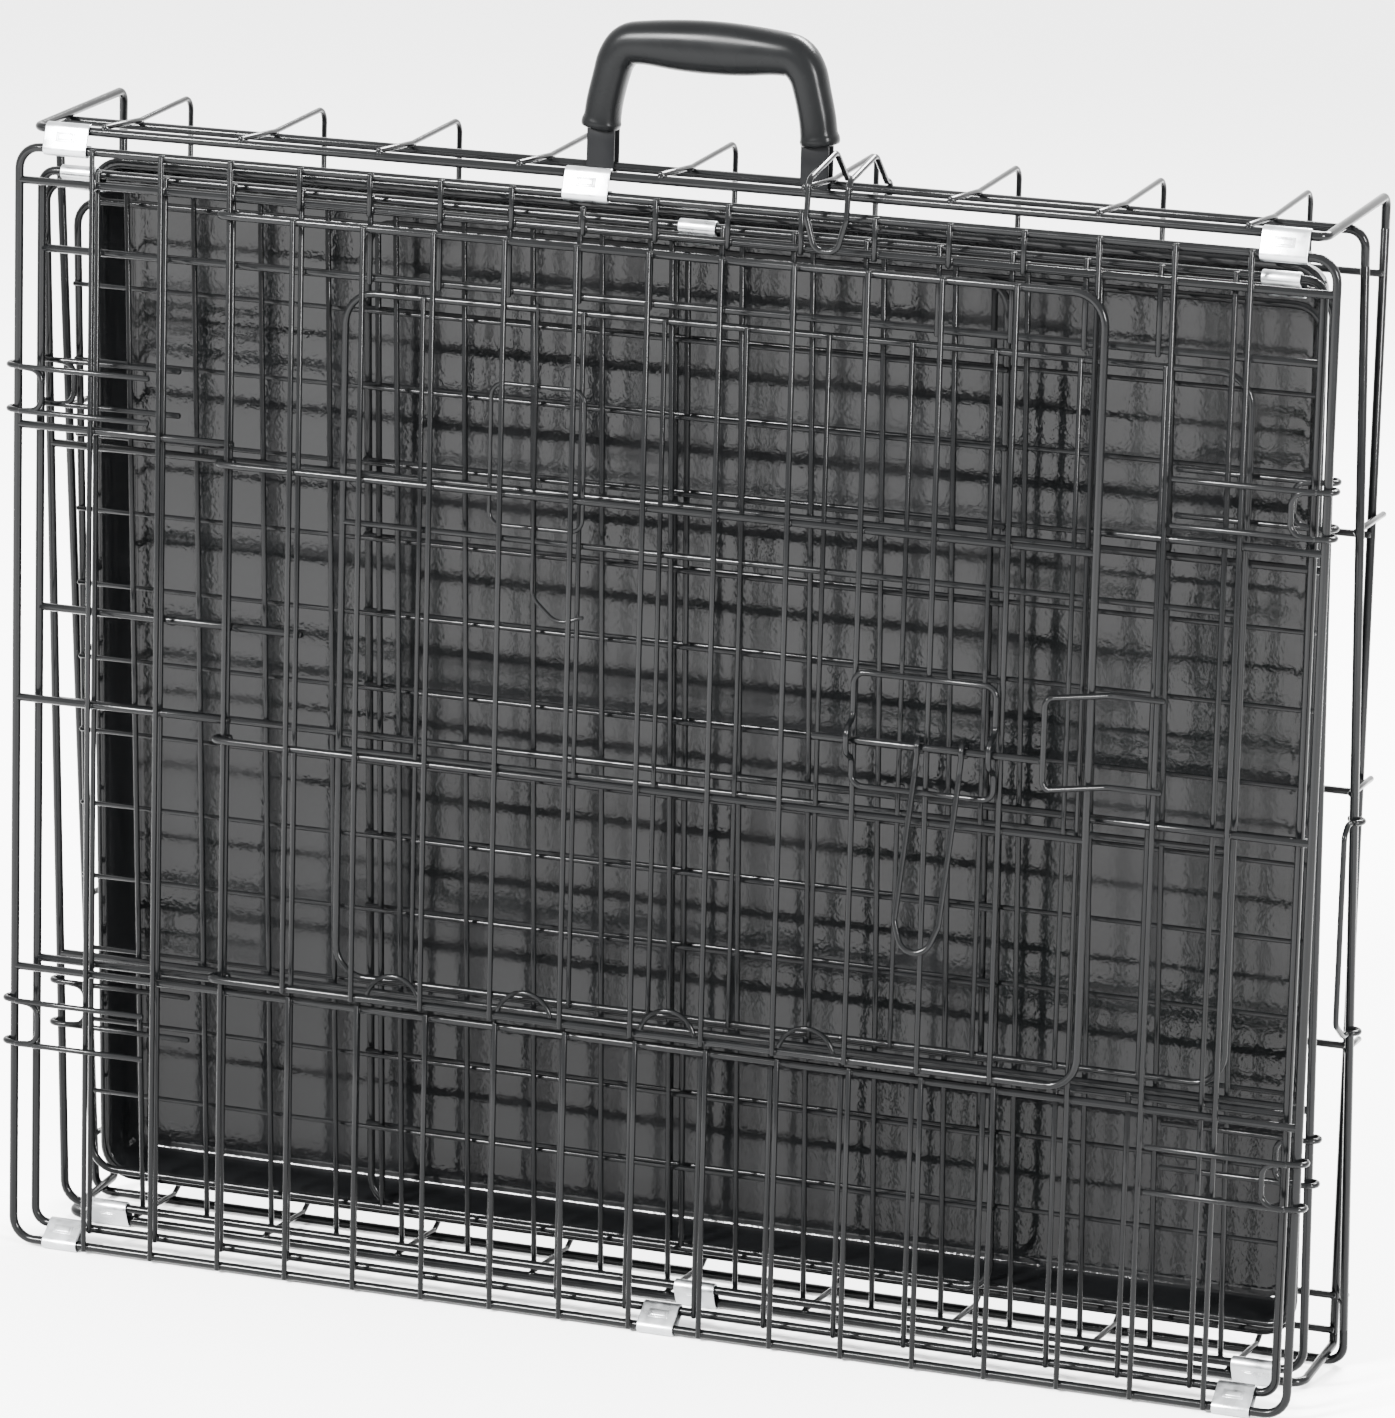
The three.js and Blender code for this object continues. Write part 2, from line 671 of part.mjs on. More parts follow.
function addPart(name, geometry, look) {
  geometry.translate(0, 0, BASE_Z);
  geometry.computeVertexNormals();
  const material = new THREE.MeshStandardMaterial({
    color: look.color, roughness: look.roughness, metalness: look.metalness,
  });
  material.name = look.name;
  const mesh = new THREE.Mesh(geometry, material);
  mesh.name = name;
  root.add(mesh);
}

addPart('floor_grid', makeFloorGrid(), STEEL);
addPart('lip_top', makeLipTop(), STEEL);
addPart('lip_bottom', makeLipBottom(), STEEL);
addPart('brace_left', makeBrace(-1), STEEL);
addPart('brace_right', makeBrace(1), STEEL);
addPart('pan', makePan(), PAN_PLASTIC);
addPart('side_panel_front', makeFrontPanel(), STEEL);
addPart('top_panel', makeTopPanel(), STEEL);
addPart('side_panel_rear', makeRearPanel(), STEEL);
addPart('end_panel_left', makeEndPanel(1, END_LEFT), STEEL);
addPart('end_panel_right', makeEndPanel(-1, END_RIGHT), STEEL);
addPart('side_door', makeSideDoor(), STEEL);
addPart('door_bolt', makeDoorBolt(), STEEL);
addPart('door_paddle', makeDoorPaddle(), STEEL);
addPart('bolt_keeper', makeKeeper(), STEEL);
addPart('top_door', makeTopDoor(), STEEL);
addPart('top_door_guide', makeTopDoorGuide(), STEEL);
addPart('top_door_bolt', makeTopDoorBolt(), STEEL);
addPart('carry_handle', makeHandle(), GRIP_PLASTIC);
addPart('handle_strap_left', makeStrap(-1), STEEL);
addPart('handle_strap_right', makeStrap(1), STEEL);
addPart('carry_catch', makeCarryCatch(), STEEL);
addPart('pan_latch', makePanLatch(), STEEL);

const sides = [['left', -1], ['right', 1]];
const levels = [['upper', 398], ['lower', 106]];
for (const [sideName, side] of sides) {
  for (const [levelName, z] of levels) {
    const frontFace = FRONT.y - 2.7 - MESH_R - 0.35 - 1.3;
    addPart(`hook_front_${levelName}_${sideName}`,
      makeCornerHook(side, z, FRONT.half, FRONT.y, frontFace, 237), STEEL);
    const y = depthAt(z, { z: REAR.bottom, y: REAR.yBottom }, { z: REAR.top, y: REAR.yTop });
    addPart(`hook_rear_${levelName}_${sideName}`,
      makeCornerHook(side, z, REAR.half, y, y - FRAME_R - 0.6 - 1.3, 232), STEEL);
  }
}

const frontTop = [FRONT.y, FRONT.top];
const frontLow = [FRONT.y, FRONT.bottom];
const topLow = [TOP.y, TOP.bottom];
const topHigh = [TOP.y, TOP.top];
const rearLow = [REAR.yBottom, REAR.bottom];
const rearHigh = [REAR.yTop, REAR.top];
const lipHigh = [LIP.frontY, LIP.frontZ];
const lipLow = [LIP.lowY, LIP.lowZ];
const places = ['left', 'middle', 'right'];
const clipRows = [
  ['clip_lip_front', frontTop, lipHigh, [-280, -33, 280], 21],
  ['clip_lip_rear', lipLow, rearLow, [-275, 14.5, 275], 19],
  ['clip_front_top', frontLow, topLow, [-279, 12.5, 278.5], 17],
  ['clip_top_rear', topHigh, rearHigh, [-277, 16, 277], 17],
];
for (const [name, a, b, xs, width] of clipRows) {
  const make = name === 'clip_lip_front' ? makeHookClip : makeClip;
  xs.forEach((x, i) => {
    addPart(`${name}_${places[i]}`, make(a, b, x, width), ZINC);
  });
}

export default root;
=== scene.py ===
"""Looks for a folding wire dog crate. Lengths are in millimetres until a mesh is made."""
import json
import math

import bpy
from mathutils import Matrix, Vector


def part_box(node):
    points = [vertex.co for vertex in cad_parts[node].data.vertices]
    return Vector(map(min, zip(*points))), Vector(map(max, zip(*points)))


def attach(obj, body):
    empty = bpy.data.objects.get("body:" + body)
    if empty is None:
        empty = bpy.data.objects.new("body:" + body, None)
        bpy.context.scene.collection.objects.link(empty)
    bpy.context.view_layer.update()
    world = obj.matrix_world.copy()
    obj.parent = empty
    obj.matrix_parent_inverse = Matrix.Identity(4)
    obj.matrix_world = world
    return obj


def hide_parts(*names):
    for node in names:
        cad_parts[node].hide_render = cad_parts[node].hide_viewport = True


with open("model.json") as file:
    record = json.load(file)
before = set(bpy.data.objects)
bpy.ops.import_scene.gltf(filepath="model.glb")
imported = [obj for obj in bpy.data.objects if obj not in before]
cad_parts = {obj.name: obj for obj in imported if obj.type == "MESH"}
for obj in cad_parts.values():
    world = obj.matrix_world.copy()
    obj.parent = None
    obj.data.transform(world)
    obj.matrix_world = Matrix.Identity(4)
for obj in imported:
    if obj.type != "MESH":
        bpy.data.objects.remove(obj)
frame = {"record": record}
BODY_OF = {n: b for b, nodes in frame["record"]["behaviour"]["bodies"].items() for n in nodes}
SLOT_OF = {s["node"]: s["material_slot"] for s in frame["record"]["subparts"]}


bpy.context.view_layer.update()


# ---- driving dimensions, read from the CAD frame where a box gives them ------------


def box(node):
    low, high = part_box(node)
    return [c * 1000 for c in low], [c * 1000 for c in high]


FRAME_R, RAIL_R, MESH_R, THIN_R = 2.0, 1.8, 1.25, 1.1
PITCH, WIRE_END = 33.3, 1.5
BASE = 0.65
HIGH = {node: box(node)[1] for node in ("side_panel_front", "top_panel", "side_panel_rear")}
FRONT = {"half": HIGH["side_panel_front"][0] - FRAME_R, "bottom": 2.5 + BASE,
         "top": HIGH["side_panel_front"][2] - FRAME_R, "y": 0.0}
TOP = {"half": HIGH["top_panel"][0] - FRAME_R, "bottom": 9 + BASE,
       "top": HIGH["top_panel"][2] - FRAME_R, "y": 7.5}
REAR = {"half": 297.5, "bottom": 9 + BASE, "top": HIGH["side_panel_rear"][2] - FRAME_R,
        "low_y": 43.0, "top_y": 15.5}
FLOOR = {"half": 296.5, "y": 94.0, "top": 519 + BASE, "bottom": 8 + BASE,
         "pitch": 65.75, "count": 9}
LIP = {"y": 3.0, "z": 514.5 + BASE, "low_y": 46.0, "low_z": 2.5 + BASE}
RING = {"half": 303.0, "y": 40.0, "z": 512.6 + BASE, "low_y": 88.0, "low_z": 1.4 + BASE}
DOOR = {"left": -199.8, "right": 205.0, "bottom": 138 + BASE, "top": 484 + BASE, "y": -7.0}
TOP_DOOR = {"left": -150.0, "right": 265.0, "bottom": 142 + BASE, "top": 452 + BASE, "y": 12.0}
SILL, HEADER = 131 + BASE, 491 + BASE
BOLT = {"z": 283 + BASE, "y": -16.2, "left": 83.0, "right": 186.8}
END = {"bottom": 24 + BASE, "top": 480 + BASE, "pitch": 34.5, "rows": 12}
PAN = {"half": 288.0, "bottom": 17 + BASE, "top": 498 + BASE, "low_y": 61.0, "top_y": 39.0}
HANDLE_X = 8.0
TOP_BOLT_X = -56.0
DOOR_RAILS = (248 + BASE, 373 + BASE)
STUB_RAILS = (256 + BASE, 381 + BASE)
HINGE_LOOPS = (-119, -56, 12, 77)
HINGE_LOOP_R = 13
HOOK_LEVELS = (("upper", 398 + BASE), ("lower", 106 + BASE))
WELD = (1.9, 1.1, 1.9)
# azimuth, elevation and roll in degrees, distance in metres, lens over sensor width,
# and the point looked at in the plane y = 0, in metres
CAMERA = (20.587, 12.979, 1.517, 3.2946, 5.3515, 0.02425, 0.28565)


# ---- materials ---------------------------------------------------------------------
def material(name, colour, rough, metal=0.0, grain=900, bump=0.1, depth=0.0002, spread=0.08,
             specular=0.5, tint=None, patches=45):
    """A surface with fine bumps, and with roughness and colour that drift in soft patches."""
    m = bpy.data.materials.new(name)
    m.use_nodes = True
    tree = m.node_tree
    shader = tree.nodes["Principled BSDF"]
    shader.inputs["Metallic"].default_value = metal
    shader.inputs["Specular IOR Level"].default_value = specular
    place = tree.nodes.new("ShaderNodeTexCoord")
    fine = tree.nodes.new("ShaderNodeTexNoise")
    fine.inputs["Scale"].default_value = grain
    fine.inputs["Detail"].default_value = 3
    broad = tree.nodes.new("ShaderNodeTexNoise")
    broad.inputs["Scale"].default_value = patches
    broad.inputs["Detail"].default_value = 4
    tree.links.new(place.outputs["Object"], fine.inputs["Vector"])
    tree.links.new(place.outputs["Object"], broad.inputs["Vector"])
    relief = tree.nodes.new("ShaderNodeBump")
    relief.inputs["Strength"].default_value = bump
    relief.inputs["Distance"].default_value = depth
    tree.links.new(fine.outputs["Fac"], relief.inputs["Height"])
    tree.links.new(relief.outputs["Normal"], shader.inputs["Normal"])
    drift = tree.nodes.new("ShaderNodeMapRange")
    drift.inputs["From Min"].default_value = 0.3
    drift.inputs["From Max"].default_value = 0.7
    drift.inputs["To Min"].default_value = max(rough - spread, 0.02)
    drift.inputs["To Max"].default_value = rough + spread
    tree.links.new(broad.outputs["Fac"], drift.inputs["Value"])
    tree.links.new(drift.outputs["Result"], shader.inputs["Roughness"])
    mix = tree.nodes.new("ShaderNodeMix")
    mix.data_type = "RGBA"
    mix.inputs["A"].default_value = (*colour, 1)
    mix.inputs["B"].default_value = (*(tint or [c * 1.6 for c in colour]), 1)
    tree.links.new(broad.outputs["Fac"], mix.inputs["Factor"])
    tree.links.new(mix.outputs["Result"], shader.inputs["Base Color"])
    m.diffuse_color = (*colour, 1)
    return m


STEEL = material("black_coated_steel", (0.0015, 0.0016, 0.0017), 0.17, grain=1100, bump=0.10,
                 spread=0.05, specular=0.09)
STRAP = material("black_strap", (0.002, 0.0021, 0.0023), 0.30, grain=1500, bump=0.15, specular=0.06)
ZINC = material("zinc_plate", (0.22, 0.225, 0.23), 0.34, metal=1.0, grain=2200, bump=0.2,
                depth=0.0001, spread=0.12, tint=(0.40, 0.41, 0.42), patches=160)
PLASTIC = material("handle_plastic", (0.0016, 0.0017, 0.0018), 0.27, grain=2600, bump=0.16,
                   depth=0.00015, spread=0.04, specular=0.05)
PAN_ABS = material("pan_abs", (0.0015, 0.0016, 0.0017), 0.10, grain=420, bump=0.22, depth=0.0003,
               spread=0.05, specular=0.11, patches=18)
LOOKS = {"steel": STEEL, "zinc": ZINC, "pan": PAN_ABS, "handle": PLASTIC}


# ---- round wire --------------------------------------------------------------------
def bend_corners(points, radius, steps=7):
    """Swaps each inner corner for a circular arc."""
    path = [Vector(points[0])]
    for i in range(1, len(points) - 1):
        here = Vector(points[i])
        back, ahead = Vector(points[i - 1]) - here, Vector(points[i + 1]) - here
        angle = back.angle(ahead)
        if angle > math.pi - 0.02:
            path.append(here)
            continue
        reach = min(radius / math.tan(angle / 2), back.length * 0.49, ahead.length * 0.49)
        back.normalize()
        ahead.normalize()
        middle = here + (back + ahead).normalized() * (reach / math.cos(angle / 2))
        first, last = here + back * reach - middle, here + ahead * reach - middle
        sweep = first.angle(last)
        for k in range(steps + 1):
            s = k / steps
            share = math.sin((1 - s) * sweep) * first + math.sin(s * sweep) * last
            path.append(middle + share / math.sin(sweep))
    path.append(Vector(points[-1]))
    return path


class Wires:
    """Collects tubes, beads and sheets, and turns them into one mesh."""

    def __init__(self):
        self.verts = []
        self.faces = []

    def ring_strip(self, rings, closed=False, caps=True):
        sides = len(rings[0])
        start = len(self.verts)
        for ring in rings:
            self.verts.extend(ring)
        count = len(rings)
        for i in range(count if closed else count - 1):
            a, b = start + i * sides, start + ((i + 1) % count) * sides
            for k in range(sides):
                n = (k + 1) % sides
                self.faces.append((a + k, a + n, b + n, b + k))
        if caps and not closed:
            self.faces.append(tuple(start + k for k in reversed(range(sides))))
            last = start + (count - 1) * sides
            self.faces.append(tuple(last + k for k in range(sides)))

    def tube(self, points, r, sides=12, closed=False):
        points = [Vector(p) for p in points]
        count = len(points)
        tangents = []
        for i in range(count):
            if closed:
                before, after = points[i - 1], points[(i + 1) % count]
            else:
                before, after = points[max(i - 1, 0)], points[min(i + 1, count - 1)]
            tangents.append((after - before).normalized())
        side = tangents[0].orthogonal().normalized()
        rings = []
        for p, t in zip(points, tangents):
            side = (side - t * side.dot(t)).normalized()
            up = t.cross(side)
            rings.append((p, t, side, up, 1.0))
        if not closed:
            first, last = rings[0], rings[-1]
            rounding = ((0.5, 0.55), (0.3, 0.84))
            rings = [(first[0] - first[1] * r * a, *first[1:4], w) for a, w in rounding] + rings
            rings += [(last[0] + last[1] * r * a, *last[1:4], w) for a, w in reversed(rounding)]
        out = []
        for p, t, s, u, w in rings:
            ring = []
            for k in range(sides):
                angle = 2 * math.pi * k / sides
                ring.append(p + (s * math.cos(angle) + u * math.sin(angle)) * r * w)
            out.append(ring)
        self.ring_strip(out, closed)

    def bent(self, points, r, bend, steps=7, sides=12):
        self.tube(bend_corners(points, bend, steps), r, sides)

    def loop(self, x0, x1, z0, z1, y, r, corner):
        """A rounded rectangle of wire in the XZ plane."""
        m = (x0 + x1) / 2
        path = bend_corners([(m, y, z1), (x0, y, z1), (x0, y, z0), (x1, y, z0), (x1, y, z1),
                             (m, y, z1)], corner)
        self.tube(path[:-1], r, closed=True)

    def rail(self, x0, x1, y, z, r=RAIL_R):
        self.tube([(x0, y, z), (x1, y, z)], r)

    def post(self, x, y, z0, z1, r=MESH_R):
        self.tube([(x, y, z0), (x, y, z1)], r)

    def plate(self, place, along, out, window, rise):
        """A small raised rectangle on a flat side of a sheet strip."""
        u0, u1, v0, v1 = window
        rings = []
        for level, shrink in ((-rise, 0), (rise * 0.6, 0), (rise, 0.18)):
            rings.append([place((along + v, out + level), u)
                          for u, v in ((u0 + shrink, v0 + shrink), (u1 - shrink, v0 + shrink),
                                       (u1 - shrink, v1 - shrink), (u0 + shrink, v1 - shrink))])
        self.ring_strip(rings)

    def bead(self, p, size):
        """The flattened nugget of metal where two wires are welded."""
        rings = []
        for i in range(1, 5):
            a = math.pi * i / 5
            ring = []
            for k in range(8):
                b = 2 * math.pi * k / 8
                ring.append(Vector((p[0] + size[0] * math.sin(a) * math.cos(b),
                                    p[1] + size[1] * math.sin(a) * math.sin(b),
                                    p[2] + size[2] * math.cos(a))))
            rings.append(ring)
        self.ring_strip(rings)

    def welds(self, xs, zs, y, size=WELD):
        for x in xs:
            for z in zs:
                self.bead((x, y, z), size)

    def lean(self, low_y, top_y, low_z, top_z):
        """Tilts everything made so far about the foot of the panel."""
        turn = Matrix.Rotation(math.atan2(low_y - top_y, top_z - low_z), 3, "X")
        foot = Vector((0, low_y, low_z))
        self.verts = [turn @ (v - Vector((0, 0, low_z))) + foot for v in self.verts]

    def make(self, node, look=None, piece=None, bevel=0.0):
        mesh = bpy.data.meshes.new(piece or node + "_look")
        mesh.from_pydata([v / 1000 for v in self.verts], [], self.faces)
        mesh.materials.append(look or LOOKS[SLOT_OF[node]])
        for face in mesh.polygons:
            face.use_smooth = True
        obj = bpy.data.objects.new(mesh.name, mesh)
        bpy.context.collection.objects.link(obj)
        if bevel:
            soften = obj.modifiers.new("soft_edges", "BEVEL")
            soften.width = bevel / 1000
            soften.segments = 2
            soften.limit_method = "ANGLE"
        mesh.validate()
        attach(obj, BODY_OF[node])
        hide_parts(node)
        return obj


# ---- the four hinged panels --------------------------------------------------------
def front_panel():
    """The side panel with the door opening, drawn as frame, rails and uprights."""
    w, p = Wires(), FRONT
    face = -2.7
    w.loop(-p["half"], p["half"], p["bottom"], p["top"], 0, FRAME_R, 10)
    for z in (SILL, HEADER):
        w.rail(-p["half"], p["half"], 0, z)
    for z in STUB_RAILS:
        w.rail(-p["half"], DOOR["left"] + 1.2, 0, z)
        w.rail(-DOOR["left"] - 1.2, p["half"], 0, z)
    for i in range(-8, 9):
        x = i * PITCH
        crown = p["top"] - 5.5 if i == -1 else p["top"] + WIRE_END - 0.6
        foot = p["bottom"] - WIRE_END + 0.6
        if abs(i) < 6:
            w.post(x, face, HEADER - 2, crown)
            w.post(x, face, foot, SILL + 2)
            w.welds([x], [p["bottom"], SILL, HEADER], -1.5)
        else:
            w.post(x, face, foot, crown)
            w.welds([x], [p["bottom"], SILL, *STUB_RAILS, HEADER], -1.5)
        if i != -1:
            w.welds([x], [p["top"]], -1.5)
    w.make("side_panel_front")


def top_panel():
    """The panel with the small door, and the half round loops that door hangs on."""
    w, p, d = Wires(), TOP, TOP_DOOR
    face = p["y"] - 2.7
    low, high = d["bottom"] - 8, d["top"] + 8
    left, right = -267 + 32.8 * 3, -267 + 32.8 * 16
    w.loop(-p["half"], p["half"], p["bottom"], p["top"], p["y"], FRAME_R, 7)
    w.rail(-p["half"], p["half"], p["y"], low)
    w.rail(-p["half"], p["half"], p["y"], high)
    w.rail(-p["half"], left + 1.2, p["y"], 297 + BASE)
    for i in range(17):
        x = -267 + 32.8 * i
        foot, crown = p["bottom"] - WIRE_END + 0.6, p["top"] + WIRE_END - 0.6
        if left + 1 < x < right - 1:
            w.post(x, face, high - 2, crown)
            w.post(x, face, foot, low + 2)
        else:
            w.post(x, face, foot, crown)
        w.welds([x], [p["bottom"], low, high, p["top"]], p["y"] - 1.5)
    arc = [math.pi * k / 16 for k in range(17)]
    for x in HINGE_LOOPS:
        w.tube([(x + HINGE_LOOP_R * math.cos(a), p["y"] - 2.5,
                 low - 0.6 + HINGE_LOOP_R * math.sin(a)) for a in arc], THIN_R)
    w.make("top_panel")


def rear_panel():
    """The other side panel, leaning back from its foot."""
    w, p = Wires(), REAR
    height = math.hypot(p["top"] - p["bottom"], p["low_y"] - p["top_y"])
    z0 = p["bottom"]
    w.loop(-p["half"], p["half"], z0, z0 + height, 0, FRAME_R, 10)
    levels = [z0 + height * i / 4 for i in range(5)]
    for z in levels[1:4]:
        w.rail(-p["half"], p["half"], 0, z)
    for i in range(-8, 9):
        w.post(i * 32.4, 2.7, z0 - WIRE_END + 0.6, z0 + height + WIRE_END - 0.6)
        w.welds([i * 32.4], levels, 1.5)
    w.lean(p["low_y"], p["top_y"], p["bottom"], p["top"])
    w.make("side_panel_rear")


def end_panel(node, side, low_y, top_y):
    """An end panel lying in the fold, with close rungs and two uprights."""
    w = Wires()
    x0, x1 = sorted((side * 150, -side * 288))
    z0, height = END["bottom"], END["top"] - END["bottom"]
    w.loop(x0, x1, z0, z0 + height, 0, RAIL_R, 12)
    rows = [z0 + 4 + END["pitch"] * (i + 1) for i in range(END["rows"])]
    posts = [x0 + (x1 - x0) * i / 3 for i in (1, 2)]
    for z in rows:
        w.rail(x0 - WIRE_END + 0.6, x1 + WIRE_END - 0.6, -2.4, z, THIN_R)
    for x in posts:
        w.post(x, -0.3, z0, z0 + height, 1.4)
    w.welds([x0, *posts, x1], rows, -1.4, (1.7, 1.0, 1.7))
    w.lean(low_y, top_y, END["bottom"], END["top"])
    w.make(node)


# ---- floor tray --------------------------------------------------------------------
def floor_xs():
    return [(i - (FLOOR["count"] - 1) / 2) * FLOOR["pitch"] for i in range(FLOOR["count"])]


def floor_parts():
    """The floor grid, the wires that loop over to its lips, and the leaning end rods."""
    f, r = FLOOR, RING
    low, high = f["bottom"] + 4, f["top"] - 14
    grid = Wires()
    rails = [30 + BASE + i * 114 for i in range(5)] + [low + 2]
    for x in floor_xs():
        grid.post(x, f["y"], low, high)
    for side in (-1, 1):
        grid.post(side * f["half"], f["y"], low, high, FRAME_R)
    for z in rails:
        grid.rail(-f["half"], f["half"], f["y"] - 2.6, z, 1.6)
        grid.welds(floor_xs(), [z], f["y"] - 1.4)
    grid.make("floor_grid")

    top = Wires()
    for x in floor_xs():
        top.bent([(x, f["y"], high + 0.3), (x, f["y"], f["top"]), (x, r["y"], r["z"] + 2.7),
                  (x, LIP["y"] - 0.2, LIP["z"] + 2.5)], MESH_R, 6, 8)
        top.bead((x, r["y"], r["z"] + 1.6), (1.9, 1.9, 1.1))
        top.bead((x, LIP["y"], LIP["z"] + 1.6), (2.0, 2.2, 1.3))
    for side in (-1, 1):
        top.bent([(side * f["half"], f["y"], high + 0.3), (side * f["half"], f["y"], f["top"] + 0.4),
                  (side * f["half"], LIP["y"], LIP["z"]), (0, LIP["y"], LIP["z"])], FRAME_R, 5, 8)
        top.bent([(0, r["y"], r["z"]), (side * r["half"], r["y"], r["z"]),
                  (side * r["half"], r["y"] + 1.6, r["z"] - 15)], FRAME_R, 12, 8)
    top.make("lip_top")

    foot = Wires()
    for x in floor_xs():
        foot.bent([(x, f["y"], f["bottom"] + 3.6), (x, f["y"], f["bottom"] - 0.6),
                   (x, r["low_y"], r["low_z"] + 2.6), (x, LIP["low_y"] + 0.4, LIP["low_z"] + 2.5)],
                  MESH_R, 3, 6)
        foot.bead((x, LIP["low_y"], LIP["low_z"] + 1.6), (2.0, 2.2, 1.3))
    for side in (-1, 1):
        foot.bent([(side * f["half"], f["y"], f["bottom"] + 3.6),
                   (side * f["half"], f["y"], f["bottom"] - 1),
                   (side * f["half"], LIP["low_y"], LIP["low_z"]), (0, LIP["low_y"], LIP["low_z"])],
                  FRAME_R, 7, 8)
        foot.bent([(0, r["low_y"], r["low_z"]), (side * r["half"], r["low_y"], r["low_z"]),
                   (side * r["half"], r["low_y"] - 1.6, r["low_z"] + 15)], FRAME_R, 12, 8)
    foot.make("lip_bottom")

    for side, node in ((-1, "brace_left"), (1, "brace_right")):
        w = Wires()
        a = Vector((side * r["half"], r["low_y"] - 1.7, r["low_z"] + 15.4))
        b = Vector((side * r["half"], r["y"] + 1.7, r["z"] - 15.4))
        w.tube([a, b], FRAME_R)
        for i in range(4):
            z = 30 + BASE + i * 117
            y = a.y + (b.y - a.y) * (z - a.z) / (b.z - a.z)
            x = side * (r["half"] - 1.6)
            w.tube([(x, y, z), (x, f["y"] + 0.6, z)], 1.4)
            w.bead((side * (r["half"] - 0.6), y, z), (1.6, 2.2, 2.2))
        w.make(node)


def pan():
    """The tray: a sheet pressed into a shallow box with a turned rim and round corners."""
    p, w = PAN, Wires()

    def outline(inset, y, corner):
        x0, x1 = inset - p["half"], p["half"] - inset
        z0, z1 = p["bottom"] + inset, p["top"] - inset
        ring = []
        for cx, cz, a0 in ((x1 - corner, z1 - corner, 0), (x0 + corner, z1 - corner, 90),
                           (x0 + corner, z0 + corner, 180), (x1 - corner, z0 + corner, 270)):
            for k in range(9):
                a = math.radians(a0 + k * 90 / 8)
                ring.append(Vector((cx + corner * math.cos(a), y, cz + corner * math.sin(a))))
        return ring

    # inset from the edge, depth, and corner radius: the outside with its rim, then the inside
    outer = [(4.6, 0.6, 12), (4.2, 0.0, 13), (0.9, 0.0, 16), (0.2, 0.35, 16), (0.0, 1.2, 16),
             (0.3, 2.0, 16), (1.0, 2.2, 16), (4.0, 2.2, 13), (4.6, 3.0, 12), (5.4, 20, 12),
             (6.2, 23.6, 11), (8.4, 25.5, 9), (11, 26, 8)]
    inner = [(13, 23.8, 8), (10.0, 23.2, 9), (8.2, 21.4, 10), (7.4, 18, 10.5), (6.8, 3.0, 10.5)]
    rings = [outline(*station) for station in outer]
    backs = [outline(*station) for station in inner]
    w.ring_strip(rings, caps=False)
    start = len(w.verts)
    w.ring_strip(backs, caps=False)
    sides = len(rings[0])
    w.faces.append(tuple(range(len(rings) * sides - sides, len(rings) * sides)))
    w.faces.append(tuple(reversed(range(start, start + sides))))
    last = start + (len(backs) - 1) * sides
    for k in range(sides):
        n = (k + 1) % sides
        w.faces.append((last + k, last + n, n, k))
    w.lean(p["low_y"], p["top_y"], p["bottom"], p["top"])
    w.make("pan")


# ---- doors and latches -------------------------------------------------------------
def hinge_curl(x, y, z, r, end_x, end_y, steps=14):
    """The path of a rail whose end curls round an upright."""
    reach = MESH_R + 0.7 + r
    points = [Vector((end_x, end_y, z)), Vector((x + 6, end_y, z))]
    for i in range(steps + 1):
        a = -math.pi / 2 - i / steps * math.pi * 1.2
        points.append(Vector((x + reach * math.cos(a), y + reach * math.sin(a), z)))
    return points


def side_door():
    """The door, with the rounded guide loop of its bolt."""
    d, w = DOOR, Wires()
    pin = -2.7
    for z, r in ((d["top"], RAIL_R), (d["bottom"], RAIL_R), *((rail, 1.6) for rail in DOOR_RAILS)):
        reach = 0 if r == RAIL_R else d["right"]
        w.tube(hinge_curl(d["left"], pin, z, r, reach, d["y"]), r)
    w.bent([(0, d["y"], d["top"]), (d["right"], d["y"], d["top"]), (d["right"], d["y"], d["bottom"]),
            (0, d["y"], d["bottom"])], RAIL_R, 14, 9)
    xs = [i * PITCH for i in range(-5, 6)]
    for x in xs:
        w.post(x, d["y"] - 2.6, d["bottom"] - WIRE_END + 0.6, d["top"] + WIRE_END - 0.6)
    w.welds(xs, [d["bottom"], *DOOR_RAILS, d["top"]], d["y"] - 1.4)
    y = d["y"] - 5
    arch, z = y - 8.2, BOLT["z"]
    for x in (100, 164.5):
        w.bent([(132.3, y, 312 + BASE), (x, y, 312 + BASE), (x, y, z + 9), (x, arch, z + 5),
                (x, arch, z - 5), (x, y, z - 9), (x, y, 262 + BASE), (132.3, y, 262 + BASE)],
               1.3, 5, 7)
    w.make("side_door")


